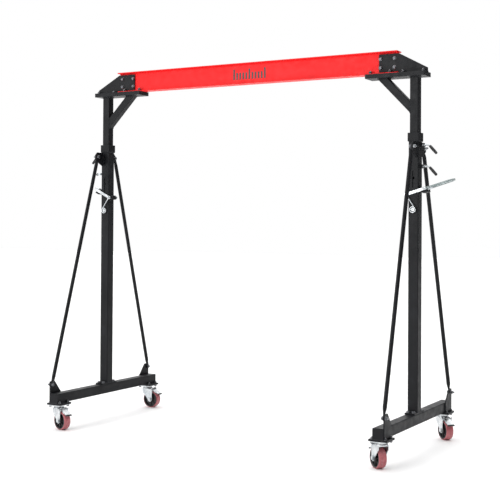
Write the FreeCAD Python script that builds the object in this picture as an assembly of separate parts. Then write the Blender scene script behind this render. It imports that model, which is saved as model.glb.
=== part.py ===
import FreeCAD, Part
import math
import os

from FreeCAD import Vector

# Workshop gantry crane: a steel I-beam carried by two A-shaped end frames on braked
# casters.  Square inner posts telescope in the end frames' outer posts.  Millimetres.
# X runs along the beam, Y along the base tubes, Z is up.  The origin is on the floor, under
# the middle of the overall length, which the lever handle puts a little to the right of
# mid-span.  Each end frame is drawn as the right-hand one, with its post on the Z axis and
# its outer side towards +X.

# Overall sizes
post_spacing = 2340.0
base_length = 1160.0
plate_underside_height = 2300.0
beam_end_setback = 108.0

# I-beam
beam_height = 140.0
beam_flange_width = 73.0
beam_flange_thickness = 6.9
beam_web_thickness = 4.7
beam_root_radius = 7.0

# Head of each leg
head_plate_inward = 312.0
head_plate_outward = 76.0
head_plate_width = 115.0
top_plate_thickness = 12.0
bracket_plate_thickness = 15.0
gusset_thickness = 8.0
gusset_reach = 60.0
gusset_top_gap = 8.0
gusset_tip_height = 27.0
gusset_slope_start = 2.0

# Posts
inner_post_side = 55.0
inner_post_wall = 3.0
inner_post_length = 1600.0
post_clearance = 2.0
outer_post_wall = 3.0
tube_corner_radius = 5.0
collar_top_height = 1955.0
collar_height = 50.0
collar_wall = 5.5
collar_lip = 10.0
collar_clearance = 0.8
index_hole_diameter = 14.0
index_hole_pitch = 96.5
index_holes_above_lock = 4
index_holes_below_lock = 8

# Knee brace
knee_brace_side = 50.0
knee_brace_wall = 3.0
knee_brace_foot_drop = 222.0
knee_brace_run = 216.0

# Base tube and post foot
base_tube_wall = 4.0
base_cap_thickness = 5.0
foot_plate_length = 160.0
foot_plate_thickness = 10.0
foot_bolt_hole_diameter = 13.0
foot_bolt_spacing_x = 36.0
foot_bolt_spacing_y = 120.0

# Round braces and their plates
brace_plate_thickness = 8.0
upper_brace_plate_inset = 7.5
upper_brace_plate_width = 240.0
upper_brace_plate_side_height = 54.0
upper_brace_plate_taper_height = 40.0
upper_brace_plate_foot_width = 84.0
upper_brace_plate_drop = 6.0
upper_brace_plate_chamfer = 22.0
upper_brace_bolt_y = 100.0
upper_brace_bolt_drop = 32.0
lower_brace_plate_inset = 4.0
lower_brace_plate_top_width = 46.0
lower_brace_plate_foot_width = 112.0
lower_brace_plate_rise = 80.0
lower_brace_bolt_inset = 17.5
lower_brace_bolt_rise = 57.0
brace_diameter = 25.0
brace_wall = 2.5
brace_strap_width = 28.0
brace_strap_thickness = 6.0
brace_strap_length = 60.0
brace_bolt_hole_diameter = 13.0

# Clamp screws
clamp_screw_drops = (75.0, 206.0)
clamp_shaft_diameter = 12.0
clamp_nut_diameter = 26.0
clamp_nut_length = 14.0
clamp_shaft_reach = 55.0
clamp_grip_diameter = 19.0
clamp_grip_length = 66.0
clamp_grip_angle = 48.0
clamp_fit = 0.3
clamp_nose_gap = 1.2
clamp_turns = {"left_lower": 90.0}

# Lift lever
lever_height = 1578.0
lever_pin_diameter = 12.0
lever_pin_offset = 11.0
lever_pin_fit = 0.3
lever_block_width = 50.0
lever_block_height = 30.0
lever_block_depth = 22.0
lever_arm_width = 18.0
lever_arm_thickness = 6.0
lever_arm_gap = 3.0
lever_head_gap = 24.0
lever_head_length = 30.0
lever_head_rise = 9.0
lever_head_drop = 24.0
lever_stub_diameter = 22.0
lever_stub_bore = 16.0
lever_stub_length = 35.0
lever_pin_overhang = 8.0
lever_angles = {"left": 26.0, "right": 17.0}
handle_rod_diameter = 12.0
handle_rod_spacing = 60.0
handle_length = 180.0
lift_slot_width = 14.0
lift_slot_bottom_height = 1618.0
lift_slot_length = 104.0

# Lock pin and its link
lock_pin_height = 1485.0
lock_pin_diameter = 12.0
lock_pin_fit = 0.3
lock_pin_head_diameter = 20.0
lock_pin_head_length = 12.0
lock_pin_nose_gap = 1.5
link_rod_diameter = 6.0
link_ring_radius = 17.0
link_ring_rod_diameter = 7.0
link_ring_tangent_angle = 20.0
link_eye_diameter = 24.0

# Caster pads and casters
pad_length = 115.0
pad_width = 115.0
pad_thickness = 12.0
caster_head_room = 41.0
caster_plate_length = 105.0
caster_plate_width = 95.0
caster_plate_thickness = 6.0
race_diameter = 62.0
race_height = 10.0
swivel_gap = 0.4
fork_head_diameter = 70.0
fork_head_height = 9.0
fork_crown_thickness = 6.0
fork_leg_thickness = 5.0
fork_leg_gap = 58.0
fork_offset = 38.0
fork_leg_top_front = 26.0
fork_leg_top_rear = 58.0
fork_eye_diameter = 36.0
wheel_diameter = 125.0
wheel_width = 50.0
wheel_edge_radius = 7.0
wheel_core_diameter = 106.0
wheel_core_recess = 6.0
wheel_hub_diameter = 44.0
hub_width = 56.0
axle_diameter = 14.0
axle_fit = 0.3
axle_head_diameter = 24.0
axle_head_length = 8.0
pedal_pivot_x = 50.0
pedal_pivot_drop = 27.0
pedal_pin_diameter = 8.0
pedal_length = 74.0
pedal_width = 44.0
pedal_thickness = 4.0
pedal_angle = -32.0
pedal_cheek_depth = 10.0
pedal_cheek_length = 44.0
swivel_angles = {
    "left_front": -15.0,
    "left_rear": 3.0,
    "right_front": 140.0,
    "right_rear": -42.0,
}

# Sizes and places that follow from the sizes above.  The base tube is the same section as
# the outer post, so that the brace plates lie flat on both.
frame_tube_side = inner_post_side + 2 * (post_clearance + outer_post_wall)
outer_face = frame_tube_side / 2
beam_length = post_spacing - 2 * beam_end_setback
caster_height = wheel_diameter + caster_head_room
base_bottom = caster_height + pad_thickness
base_top = base_bottom + frame_tube_side
foot_top = base_top + foot_plate_thickness
post_top = collar_top_height - collar_lip
bracket_bottom = plate_underside_height + top_plate_thickness
beam_bottom = bracket_bottom + bracket_plate_thickness
caster_inset = pad_length / 2
arm_y = outer_face + lever_arm_gap
lever_pin_x = -outer_face - lever_pin_offset
lever_head_start = lever_pin_offset + frame_tube_side + lever_head_gap
lever_arm_length = lever_head_start + lever_head_length

Z_AXIS = Vector(0, 0, 1)
Y_AXIS = Vector(0, 1, 0)
X_AXIS = Vector(1, 0, 0)


def box(x0, x1, y0, y1, z0, z1):
    """A box between two corners."""
    return Part.makeBox(x1 - x0, y1 - y0, z1 - z0, Vector(x0, y0, z0))


def rod(start, end, diameter):
    """A round bar between two points."""
    return Part.makeCylinder(diameter / 2, (end - start).Length, start, end - start)


def prism(points, thickness):
    """A polygon given by its points, extruded along the vector thickness."""
    outline = Part.makePolygon(points + [points[0]])
    return Part.Face(outline).extrude(thickness)


def square_bar(side, length, radius):
    """A square bar with rounded corners, standing on the origin."""
    bar = box(-side / 2, side / 2, -side / 2, side / 2, 0, length)
    corners = [edge for edge in bar.Edges if abs(edge.tangentAt(edge.FirstParameter).z) > 0.9]
    return bar.makeFillet(radius, corners)


def square_tube(side, wall, length):
    """A square hollow section standing on the origin."""
    bore = square_bar(side - 2 * wall, length, max(tube_corner_radius - wall, wall / 3))
    return square_bar(side, length, tube_corner_radius).cut(bore)


def moved(shape, x, y, z):
    copy = shape.copy()
    copy.translate(Vector(x, y, z))
    return copy


def turned(shape, centre, axis, angle):
    copy = shape.copy()
    copy.rotate(centre, axis, angle)
    return copy


def fused(first, *others):
    """One solid from touching pieces, without seams on flat faces."""
    return first.fuse(list(others)).removeSplitter()


def make_beam():
    """Rolled I-section with root fillets, lying along X.

    Its faces are divided where the brackets begin, so that the stretch of bottom flange
    that a trolley can use is a face of its own.
    """
    half_flange = beam_flange_width / 2
    half_web = beam_web_thickness / 2
    top = beam_height - beam_flange_thickness
    outline = [
        (-half_flange, 0),
        (half_flange, 0),
        (half_flange, beam_flange_thickness),
        (half_web, beam_flange_thickness),
        (half_web, top),
        (half_flange, top),
        (half_flange, beam_height),
        (-half_flange, beam_height),
        (-half_flange, top),
        (-half_web, top),
        (-half_web, beam_flange_thickness),
        (-half_flange, beam_flange_thickness),
    ]
    start = mid_span_x() - beam_length / 2
    points = [Vector(start, y, z + beam_bottom) for y, z in outline]
    beam = prism(points, Vector(beam_length, 0, 0))
    roots = [edge for edge in beam.Edges if is_root(edge)]
    beam = beam.makeFillet(beam_root_radius, roots)
    free_half = post_spacing / 2 - head_plate_inward
    cuts = (start, mid_span_x() - free_half, mid_span_x() + free_half, start + beam_length)
    width = beam_flange_width
    top = beam_bottom + beam_height
    lengths = []
    for low, high in zip(cuts, cuts[1:]):
        lengths.append(beam.common(box(low, high, -width, width, beam_bottom, top)))
    return lengths[0].fuse(lengths[1:])


def is_root(edge):
    """True for the four long edges where the web meets a flange."""
    middle = edge.CenterOfMass
    along = edge.Length > beam_length / 2
    return along and abs(abs(middle.y) - beam_web_thickness / 2) < 0.1


def make_beam_bracket():
    """Base plate under the beam, and a gusset plate on each side of the web."""
    half_width = head_plate_width / 2
    plate = box(
        -head_plate_inward, head_plate_outward, -half_width, half_width, bracket_bottom, beam_bottom
    )
    beam_end = -beam_end_setback
    gusset_start = beam_end - gusset_reach - beam_height / 2
    flange_top = beam_bottom + beam_flange_thickness
    gusset_top = beam_bottom + beam_height - beam_flange_thickness - gusset_top_gap
    outline = [
        (gusset_start, flange_top + beam_root_radius),
        (beam_end, flange_top + beam_root_radius),
        (beam_end, beam_bottom),
        (head_plate_outward, beam_bottom),
        (head_plate_outward, beam_bottom + gusset_tip_height),
        (beam_end + gusset_slope_start, gusset_top),
        (gusset_start, gusset_top),
    ]
    pieces = []
    for start in (-beam_web_thickness / 2 - gusset_thickness, beam_web_thickness / 2):
        points = [Vector(x, start, z) for x, z in outline]
        pieces.append(prism(points, Vector(0, gusset_thickness, 0)))
    return fused(plate, *pieces)


def make_top_plate():
    """Plate welded to the head of the inner post and the knee brace."""
    half_width = head_plate_width / 2
    return box(
        -head_plate_inward,
        head_plate_outward,
        -half_width,
        half_width,
        plate_underside_height,
        bracket_bottom,
    )


def make_inner_post():
    """Square tube with index holes through its front and back walls, in line with the lock pin."""
    bottom = plate_underside_height - inner_post_length
    post = moved(square_tube(inner_post_side, inner_post_wall, inner_post_length), 0, 0, bottom)
    reach = inner_post_side
    for step in range(-index_holes_below_lock, index_holes_above_lock + 1):
        height = lock_pin_height + step * index_hole_pitch
        if height > bottom + index_hole_diameter:
            start = Vector(0, -reach, height)
            post = post.cut(rod(start, Vector(0, reach, height), index_hole_diameter))
    return post


def make_knee_brace():
    """Square tube cut to sit on the inner post's face and under the top plate."""
    post_face = -inner_post_side / 2
    low = Vector(post_face, 0, plate_underside_height - knee_brace_foot_drop)
    high = Vector(post_face - knee_brace_run, 0, plate_underside_height)
    along = (high - low).normalize()
    across = Vector(-along.z, 0, along.x)
    if across.x < 0:
        across = across * -1
    side = knee_brace_side
    middle = low + across * (side / 2)
    length = (high - low).Length + 4 * side
    tube = square_tube(side, knee_brace_wall, length)
    lean = math.degrees(math.atan2(along.x, along.z))
    tube = turned(tube, Vector(0, 0, 0), Y_AXIS, lean)
    start = middle - along * (2 * side)
    tube = moved(tube, start.x, start.y, start.z)
    floor = low.z - side
    room = box(-head_plate_inward, post_face, -side, side, floor, plate_underside_height)
    return tube.common(room)


def slotted(shape, height, length, width):
    """Cuts an upright round-ended slot through the front and back walls."""
    reach = frame_tube_side
    low = height + width / 2
    high = height + length - width / 2
    slot = box(-width / 2, width / 2, -reach, reach, low, high)
    for end in (low, high):
        slot = slot.fuse(rod(Vector(0, -reach, end), Vector(0, reach, end), width))
    return shape.cut(slot)


def make_outer_post():
    """Square tube on a foot plate, with clamp nuts and the lever's pivot block."""
    half = outer_face
    tube = moved(square_tube(frame_tube_side, outer_post_wall, post_top - foot_top), 0, 0, foot_top)
    tube = slotted(tube, lift_slot_bottom_height, lift_slot_length, lift_slot_width)
    lock_hole = lock_pin_diameter + 2 * lock_pin_fit
    start = Vector(0, -frame_tube_side, lock_pin_height)
    tube = tube.cut(rod(start, Vector(0, 0, lock_pin_height), lock_hole))
    foot_half = foot_plate_length / 2
    foot = box(-half, half, -foot_half, foot_half, base_top, foot_top)
    for x in (-foot_bolt_spacing_x / 2, foot_bolt_spacing_x / 2):
        for y in (-foot_bolt_spacing_y / 2, foot_bolt_spacing_y / 2):
            start = Vector(x, y, base_top)
            foot = foot.cut(rod(start, Vector(x, y, foot_top), foot_bolt_hole_diameter))
    nuts = []
    for drop in clamp_screw_drops:
        height = collar_top_height - drop
        start = Vector(half, 0, height)
        nuts.append(rod(start, Vector(half + clamp_nut_length, 0, height), clamp_nut_diameter))
    block = box(
        -half - lever_block_depth,
        -half,
        -lever_block_width / 2,
        lever_block_width / 2,
        lever_height - lever_block_height / 2,
        lever_height + lever_block_height / 2,
    )
    post = fused(tube, foot, block, *nuts)
    for drop in clamp_screw_drops:
        height = collar_top_height - drop
        end = Vector(half + clamp_nut_length, 0, height)
        post = post.cut(rod(Vector(0, 0, height), end, clamp_shaft_diameter + 2 * clamp_fit))
    start = Vector(lever_pin_x, -half, lever_height)
    end = Vector(lever_pin_x, half, lever_height)
    return post.cut(rod(start, end, lever_pin_diameter + 2 * lever_pin_fit))


def make_collar():
    """Square sleeve over the outer post's top, with a lip that guides the inner post."""
    bottom = collar_top_height - collar_height
    collar_side = frame_tube_side + 2 * collar_wall
    sleeve = moved(square_bar(collar_side, collar_height, tube_corner_radius), 0, 0, bottom)
    seat = square_bar(frame_tube_side, post_top - bottom, tube_corner_radius)
    guide_side = inner_post_side + 2 * collar_clearance
    guide = square_bar(guide_side, collar_height, tube_corner_radius)
    return sleeve.cut(moved(seat, 0, 0, bottom)).cut(moved(guide, 0, 0, bottom))


def make_base_tube():
    """Square tube along Y with welded end caps and bolt holes under the post foot."""
    side = frame_tube_side
    half = base_length / 2
    lying = turned(square_bar(side, base_length, tube_corner_radius), Vector(0, 0, 0), X_AXIS, -90)
    outer = moved(lying, 0, -half, base_bottom + side / 2)
    bore_side = side - 2 * base_tube_wall
    bore_radius = tube_corner_radius - base_tube_wall
    bore = square_bar(bore_side, base_length - 2 * base_cap_thickness, bore_radius)
    bore = turned(bore, Vector(0, 0, 0), X_AXIS, -90)
    bore = moved(bore, 0, base_cap_thickness - half, base_bottom + side / 2)
    tube = outer.cut(bore)
    for x in (-foot_bolt_spacing_x / 2, foot_bolt_spacing_x / 2):
        for y in (-foot_bolt_spacing_y / 2, foot_bolt_spacing_y / 2):
            start = Vector(x, y, base_top - 2 * base_tube_wall)
            tube = tube.cut(rod(start, Vector(x, y, base_top), foot_bolt_hole_diameter))
    return tube


def brace_bolts(end):
    """Upper and lower bolt centres of the brace that runs to end, -1 front or +1 rear.

    The brace's flat ends lie against the inner sides of the brace plates.
    """
    lower_x = outer_face - brace_strap_thickness / 2
    upper_x = lower_x - upper_brace_plate_inset - brace_plate_thickness
    upper_height = collar_top_height - collar_height - upper_brace_plate_drop
    upper = Vector(upper_x, end * upper_brace_bolt_y, upper_height - upper_brace_bolt_drop)
    lower_y = end * (base_length / 2 - lower_brace_bolt_inset)
    lower = Vector(lower_x, lower_y, base_top + lower_brace_bolt_rise)
    return upper, lower


def make_brace_plates():
    """A wing on the post's front and rear faces, and a plate on each end of the base tube."""
    top = collar_top_height - collar_height - upper_brace_plate_drop
    side_bottom = top - upper_brace_plate_side_height
    bottom = side_bottom - upper_brace_plate_taper_height
    half = upper_brace_plate_width / 2
    foot = upper_brace_plate_foot_width / 2
    cut = upper_brace_plate_chamfer
    outline = [
        (outer_face, bottom),
        (foot, bottom),
        (half, side_bottom),
        (half, top - cut),
        (half - cut, top),
        (outer_face, top),
    ]
    thickness = Vector(brace_plate_thickness, 0, 0)
    start = outer_face - upper_brace_plate_inset - brace_plate_thickness
    plates = []
    for end in (-1, 1):
        plates.append(prism([Vector(start, end * y, z) for y, z in outline], thickness))
    end_y = base_length / 2 - lower_brace_plate_inset
    for end in (-1, 1):
        outline = [
            (end_y, base_bottom + lower_brace_plate_inset),
            (end_y, base_top + lower_brace_plate_rise),
            (end_y - lower_brace_plate_top_width, base_top + lower_brace_plate_rise),
            (end_y - lower_brace_plate_foot_width, base_top),
            (end_y - lower_brace_plate_foot_width, base_bottom + lower_brace_plate_inset),
        ]
        plates.append(prism([Vector(outer_face, end * y, z) for y, z in outline], thickness))
    for end in (-1, 1):
        for bolt in brace_bolts(end):
            start = bolt - X_AXIS * frame_tube_side
            hole = rod(start, bolt + X_AXIS * frame_tube_side, brace_bolt_hole_diameter)
            plates = [plate.cut(hole) for plate in plates]
    return Part.Compound(plates)


def make_brace(end):
    """Round tube with flattened, drilled ends bolted to the brace plates."""
    upper, lower = brace_bolts(end)
    rise = upper - lower
    along = Vector(0, rise.y, rise.z).normalize()
    tube_low = lower + along * (brace_strap_length - brace_strap_width / 2)
    tube_high = upper - along * (brace_strap_length - brace_strap_width / 2)
    tube = rod(tube_low, tube_high, brace_diameter)
    tube = tube.cut(rod(tube_low, tube_high, brace_diameter - 2 * brace_wall))
    half_thick = X_AXIS * (brace_strap_thickness / 2)
    side = Vector(0, -along.z, along.y) * (brace_strap_width / 2)
    pieces = []
    for bolt, inner in ((lower, along), (upper, along * -1)):
        far = bolt + inner * (brace_strap_length - brace_strap_width / 2 + brace_diameter)
        corners = [bolt - side, bolt + side, far + side, far - side]
        strap = prism([corner - half_thick for corner in corners], half_thick * 2)
        eye = rod(bolt - half_thick, bolt + half_thick, brace_strap_width)
        pieces.append(strap.fuse(eye))
    brace = fused(tube, *pieces)
    for bolt in (upper, lower):
        start = bolt - X_AXIS * brace_diameter
        brace = brace.cut(rod(start, bolt + X_AXIS * brace_diameter, brace_bolt_hole_diameter))
    return brace


def make_pads():
    """Plates under the ends of the base tube that take the casters."""
    pads = []
    for end in (-1, 1):
        middle = end * (base_length / 2 - caster_inset)
        pads.append(
            box(
                -pad_width / 2,
                pad_width / 2,
                middle - pad_length / 2,
                middle + pad_length / 2,
                caster_height,
                base_bottom,
            )
        )
    return Part.Compound(pads)


def make_caster_plates():
    """Fixed top plate of each caster, with the upper half of its swivel race."""
    plates = []
    top = caster_height
    bottom = top - caster_plate_thickness
    for end in (-1, 1):
        middle = end * (base_length / 2 - caster_inset)
        plate = box(
            -caster_plate_width / 2,
            caster_plate_width / 2,
            middle - caster_plate_length / 2,
            middle + caster_plate_length / 2,
            bottom,
            top,
        )
        start = Vector(0, middle, bottom - race_height)
        plates.append(fused(plate, rod(start, Vector(0, middle, bottom), race_diameter)))
    return Part.Compound(plates)


def make_clamp_screw(drop, turn):
    """Screw through the outer face, with a bent shank in a plastic grip, turned about itself."""
    height = collar_top_height - drop
    nose = Vector(inner_post_side / 2 + clamp_nose_gap, 0, height)
    elbow = Vector(outer_face + clamp_shaft_reach, 0, height)
    angle = math.radians(clamp_grip_angle)
    tip = elbow + Vector(math.cos(angle), 0, -math.sin(angle)) * clamp_grip_length
    knuckle = Part.makeSphere(clamp_grip_diameter / 2, elbow)
    round_tip = Part.makeSphere(clamp_grip_diameter / 2, tip)
    shaft = rod(nose, elbow, clamp_shaft_diameter)
    grip = rod(elbow, tip, clamp_grip_diameter)
    screw = fused(shaft, knuckle, grip, round_tip)
    return turned(screw, elbow, X_AXIS, turn)


def make_lever():
    """Two arms astride the post, a crosshead with a socket stub, and the pivot pin."""
    width = lever_arm_width
    pieces = []
    for y in (-arm_y - lever_arm_thickness, arm_y):
        arm = box(0, lever_arm_length, y, y + lever_arm_thickness, -width / 2, width / 2)
        start = Vector(0, y, 0)
        arm = arm.fuse(rod(start, Vector(0, y + lever_arm_thickness, 0), width))
        pieces.append(arm)
    head = box(
        lever_head_start, lever_arm_length, -arm_y, arm_y, -lever_head_drop, lever_head_rise
    )
    stub_start = Vector(lever_arm_length, 0, 0)
    stub_end = Vector(lever_arm_length + lever_stub_length, 0, 0)
    stub = rod(stub_start, stub_end, lever_stub_diameter)
    stub = stub.cut(rod(stub_start, stub_end, lever_stub_bore))
    pin_reach = arm_y + lever_arm_thickness + lever_pin_overhang
    pin = rod(Vector(0, -pin_reach, 0), Vector(0, pin_reach, 0), lever_pin_diameter)
    return fused(head, *pieces, stub, pin)


def make_lever_handle():
    """U-shaped rod handle that fits the crosshead's outer face."""
    radius = handle_rod_spacing / 2
    start = lever_arm_length
    end = start + handle_length - radius - handle_rod_diameter / 2
    bars = []
    for y in (-radius, radius):
        bars.append(rod(Vector(start, y, 0), Vector(end, y, 0), handle_rod_diameter))
    bend = Part.makeTorus(radius, handle_rod_diameter / 2, Vector(end, 0, 0), Z_AXIS)
    side = handle_rod_spacing
    front_half = box(end, end + side, -side, side, -side, side)
    return fused(bars[0], bend.common(front_half), bars[1])


def at_lever_pivot(shape, angle):
    """Tilts a lever piece up about its pin and puts it at the post's inner face."""
    tilted = turned(shape, Vector(0, 0, 0), Y_AXIS, -angle)
    return moved(tilted, lever_pin_x, 0, lever_height)


def make_lock_pin():
    """Pin in the post's front wall, held by a bent link from the lever's pivot."""
    front = -outer_face
    nose = -inner_post_side / 2 - lock_pin_nose_gap
    centre = Vector(0, front, lock_pin_height)
    pin = rod(centre, Vector(0, nose, lock_pin_height), lock_pin_diameter)
    head_end = Vector(0, front - lock_pin_head_length, lock_pin_height)
    head = rod(centre, head_end, lock_pin_head_diameter)
    link_y = -arm_y - lever_arm_thickness - lever_pin_overhang / 2
    neck = rod(head_end, Vector(0, link_y, lock_pin_height), link_rod_diameter)
    eye_half = Vector(0, link_rod_diameter / 2, 0)
    top = Vector(lever_pin_x, link_y, lever_height)
    foot = Vector(0, link_y, lock_pin_height)
    angle = math.radians(link_ring_tangent_angle)
    touch = foot + Vector(math.cos(angle), 0, math.sin(angle)) * link_ring_radius
    ring = Part.makeTorus(link_ring_radius, link_ring_rod_diameter / 2, foot, Y_AXIS)
    spoke = rod(foot, foot - X_AXIS * link_ring_radius, link_rod_diameter)
    bar = rod(top, touch, link_rod_diameter)
    eye = rod(top - eye_half, top + eye_half, link_eye_diameter)
    link = fused(pin, head, neck, ring, spoke, bar, eye)
    hole = lever_pin_diameter + 2 * lever_pin_fit
    return link.cut(rod(top - eye_half * 3, top + eye_half * 3, hole))


def make_fork():
    """Swivel head, crown and two legs that carry the axle, trailing towards +X."""
    head_top = caster_height - caster_plate_thickness - race_height - swivel_gap
    head_bottom = head_top - fork_head_height
    crown_bottom = head_bottom - fork_crown_thickness
    head = rod(Vector(0, 0, head_bottom), Vector(0, 0, head_top), fork_head_diameter)
    inner = fork_leg_gap / 2
    outer = inner + fork_leg_thickness
    front = -fork_leg_top_front
    rear = fork_leg_top_rear
    crown = box(front, fork_head_diameter / 2, -outer, outer, crown_bottom, head_bottom)
    axle = Vector(fork_offset, 0, wheel_diameter / 2)
    radius = fork_eye_diameter / 2
    pieces = [head, crown]
    for y in (-outer, inner):
        outline = [
            (front, head_bottom),
            (front, crown_bottom - radius),
            (axle.x - radius, axle.z),
            (axle.x + radius, axle.z),
            (rear, crown_bottom - radius),
            (rear, head_bottom),
        ]
        leg = prism([Vector(x, y, z) for x, z in outline], Vector(0, fork_leg_thickness, 0))
        centre = axle + Y_AXIS * y
        eye = rod(centre, centre + Y_AXIS * fork_leg_thickness, fork_eye_diameter)
        pieces.append(leg.fuse(eye))
    bar = rod(axle - Y_AXIS * outer, axle + Y_AXIS * outer, axle_diameter)
    for way in (-1, 1):
        start = axle + Y_AXIS * (way * outer)
        end = axle + Y_AXIS * (way * (outer + axle_head_length))
        pieces.append(Part.makeCylinder(axle_head_diameter / 2, axle_head_length, start, end - start))
    pedal_pin = pedal_pivot()
    pieces.append(rod(pedal_pin - Y_AXIS * outer, pedal_pin + Y_AXIS * outer, pedal_pin_diameter))
    return fused(pieces[0], *pieces[1:], bar)


def pedal_pivot():
    """Centre of the brake pedal's pin in the fork."""
    return Vector(pedal_pivot_x, 0, caster_height - pedal_pivot_drop)


def make_wheel():
    """Tyre on a dished core with a long hub, bored for the axle."""
    axle = Vector(fork_offset, 0, wheel_diameter / 2)
    half = wheel_width / 2
    tyre = rod(axle - Y_AXIS * half, axle + Y_AXIS * half, wheel_diameter)
    rims = [edge for edge in tyre.Edges if abs(edge.Length - math.pi * wheel_diameter) < 1]
    tyre = tyre.makeFillet(wheel_edge_radius, rims)
    for way in (-1, 1):
        face = axle + Y_AXIS * (way * half)
        inner = axle + Y_AXIS * (way * (half - wheel_core_recess))
        dish = rod(inner, face, wheel_core_diameter)
        tyre = tyre.cut(dish)
    hub_half = hub_width / 2
    hub = rod(axle - Y_AXIS * hub_half, axle + Y_AXIS * hub_half, wheel_hub_diameter)
    wheel = fused(tyre, hub)
    bore = axle_diameter + 2 * axle_fit
    return wheel.cut(rod(axle - Y_AXIS * hub_width, axle + Y_AXIS * hub_width, bore))


def make_pedal():
    """Brake pedal: a sloping plate with two cheeks on the fork's pin."""
    half = pedal_width / 2
    start = pedal_pin_diameter
    plate = box(start, pedal_length, -half, half, 0, pedal_thickness)
    pieces = [plate]
    depth = pedal_cheek_depth
    for y in (-half, half - pedal_thickness):
        cheek = box(-depth, pedal_cheek_length, y, y + pedal_thickness, -depth / 2, pedal_thickness)
        eye = rod(Vector(0, y, 0), Vector(0, y + pedal_thickness, 0), 2 * depth)
        pieces.append(cheek.fuse(eye))
    pedal = fused(pieces[0], *pieces[1:])
    hole = pedal_pin_diameter + 2 * axle_fit
    pedal = pedal.cut(rod(Vector(0, -pedal_width, 0), Vector(0, pedal_width, 0), hole))
    pedal = turned(pedal, Vector(0, 0, 0), Y_AXIS, -pedal_angle)
    pivot = pedal_pivot()
    return moved(pedal, pivot.x, pivot.y, pivot.z)


def mid_span_x():
    """Where mid-span lies, with the origin under the middle of the overall length."""
    grip_reach = clamp_grip_length * math.cos(math.radians(clamp_grip_angle))
    grip_end = outer_face + clamp_shaft_reach + grip_reach + clamp_grip_diameter / 2
    radius = handle_rod_diameter / 2
    handle_reach = lever_arm_length + handle_length - radius
    handle_x = handle_reach * math.cos(math.radians(lever_angles["right"]))
    handle_end = lever_pin_x + handle_x + radius
    return (grip_end - handle_end) / 2


def on_side(shape, side):
    """Puts a right-hand piece at the right post, or its mirror image at the left one."""
    placed = moved(shape, post_spacing / 2, 0, 0)
    if side == "left":
        placed = placed.mirror(Vector(0, 0, 0), X_AXIS)
    return moved(placed, mid_span_x(), 0, 0)


def at_caster(shape, side, end):
    """Turns a caster piece to its swivel angle and puts it under its corner."""
    angle = swivel_angles[side + "_" + end]
    x = post_spacing / 2
    if side == "left":
        x = -x
    y = base_length / 2 - caster_inset
    if end == "front":
        y = -y
    return moved(turned(shape, Vector(0, 0, 0), Z_AXIS, angle), mid_span_x() + x, y, 0)


def make_nodes():
    nodes = {"i_beam": make_beam()}
    for side in ("left", "right"):
        pieces = {
            "beam_bracket": make_beam_bracket(),
            "top_plate": make_top_plate(),
            "inner_post": make_inner_post(),
            "knee_brace": make_knee_brace(),
            "outer_post": make_outer_post(),
            "post_collar": make_collar(),
            "base_tube": make_base_tube(),
            "brace_plates": make_brace_plates(),
            "front_brace": make_brace(-1),
            "rear_brace": make_brace(1),
            "caster_pads": make_pads(),
            "caster_plates": make_caster_plates(),
            "lift_lever": at_lever_pivot(make_lever(), lever_angles[side]),
            "lock_pin": make_lock_pin(),
        }
        for place, drop in zip(("upper", "lower"), clamp_screw_drops):
            turn = clamp_turns.get(side + "_" + place, 0.0)
            pieces[place + "_clamp_screw"] = make_clamp_screw(drop, turn)
        if side == "right":
            pieces["lever_handle"] = at_lever_pivot(make_lever_handle(), lever_angles[side])
        for name, shape in pieces.items():
            nodes[side + "_" + name] = on_side(shape, side)
        for end in ("front", "rear"):
            corner = side + "_" + end
            nodes[corner + "_fork"] = at_caster(make_fork(), side, end)
            nodes[corner + "_wheel"] = at_caster(make_wheel(), side, end)
            nodes[corner + "_brake_pedal"] = at_caster(make_pedal(), side, end)
    return nodes


os.makedirs("parts", exist_ok=True)
for node_name, node_shape in make_nodes().items():
    node_shape.exportStep(os.path.join("parts", node_name + ".step"))
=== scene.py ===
import math

import bmesh
import bpy
from mathutils import Matrix, Vector


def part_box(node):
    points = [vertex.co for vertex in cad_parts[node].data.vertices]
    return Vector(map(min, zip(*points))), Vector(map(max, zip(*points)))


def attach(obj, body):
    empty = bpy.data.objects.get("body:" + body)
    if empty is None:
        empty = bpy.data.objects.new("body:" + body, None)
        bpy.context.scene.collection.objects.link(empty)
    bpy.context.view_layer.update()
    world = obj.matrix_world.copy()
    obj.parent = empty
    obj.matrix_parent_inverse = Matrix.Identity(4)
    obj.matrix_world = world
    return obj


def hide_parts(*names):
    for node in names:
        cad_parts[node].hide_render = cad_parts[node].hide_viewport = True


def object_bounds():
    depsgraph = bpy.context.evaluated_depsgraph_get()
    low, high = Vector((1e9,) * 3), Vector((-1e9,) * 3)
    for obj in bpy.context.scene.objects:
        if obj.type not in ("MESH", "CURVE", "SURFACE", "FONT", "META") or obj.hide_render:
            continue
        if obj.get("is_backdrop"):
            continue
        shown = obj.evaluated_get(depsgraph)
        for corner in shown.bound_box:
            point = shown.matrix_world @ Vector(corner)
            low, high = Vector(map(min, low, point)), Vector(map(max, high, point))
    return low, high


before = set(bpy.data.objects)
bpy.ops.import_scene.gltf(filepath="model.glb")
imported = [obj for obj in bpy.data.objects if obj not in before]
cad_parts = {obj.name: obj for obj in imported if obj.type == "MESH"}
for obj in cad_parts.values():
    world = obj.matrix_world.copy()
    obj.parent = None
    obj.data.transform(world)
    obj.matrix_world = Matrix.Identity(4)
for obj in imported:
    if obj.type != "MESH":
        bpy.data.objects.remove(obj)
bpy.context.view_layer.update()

SIDES = ("left", "right")
ENDS = ("front", "rear")


# Base tubes.  Square hollow section with welded end caps, finished in a fine-textured
# charcoal powder coat baked on after welding.  Each one lies across the crane under a post.

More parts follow.
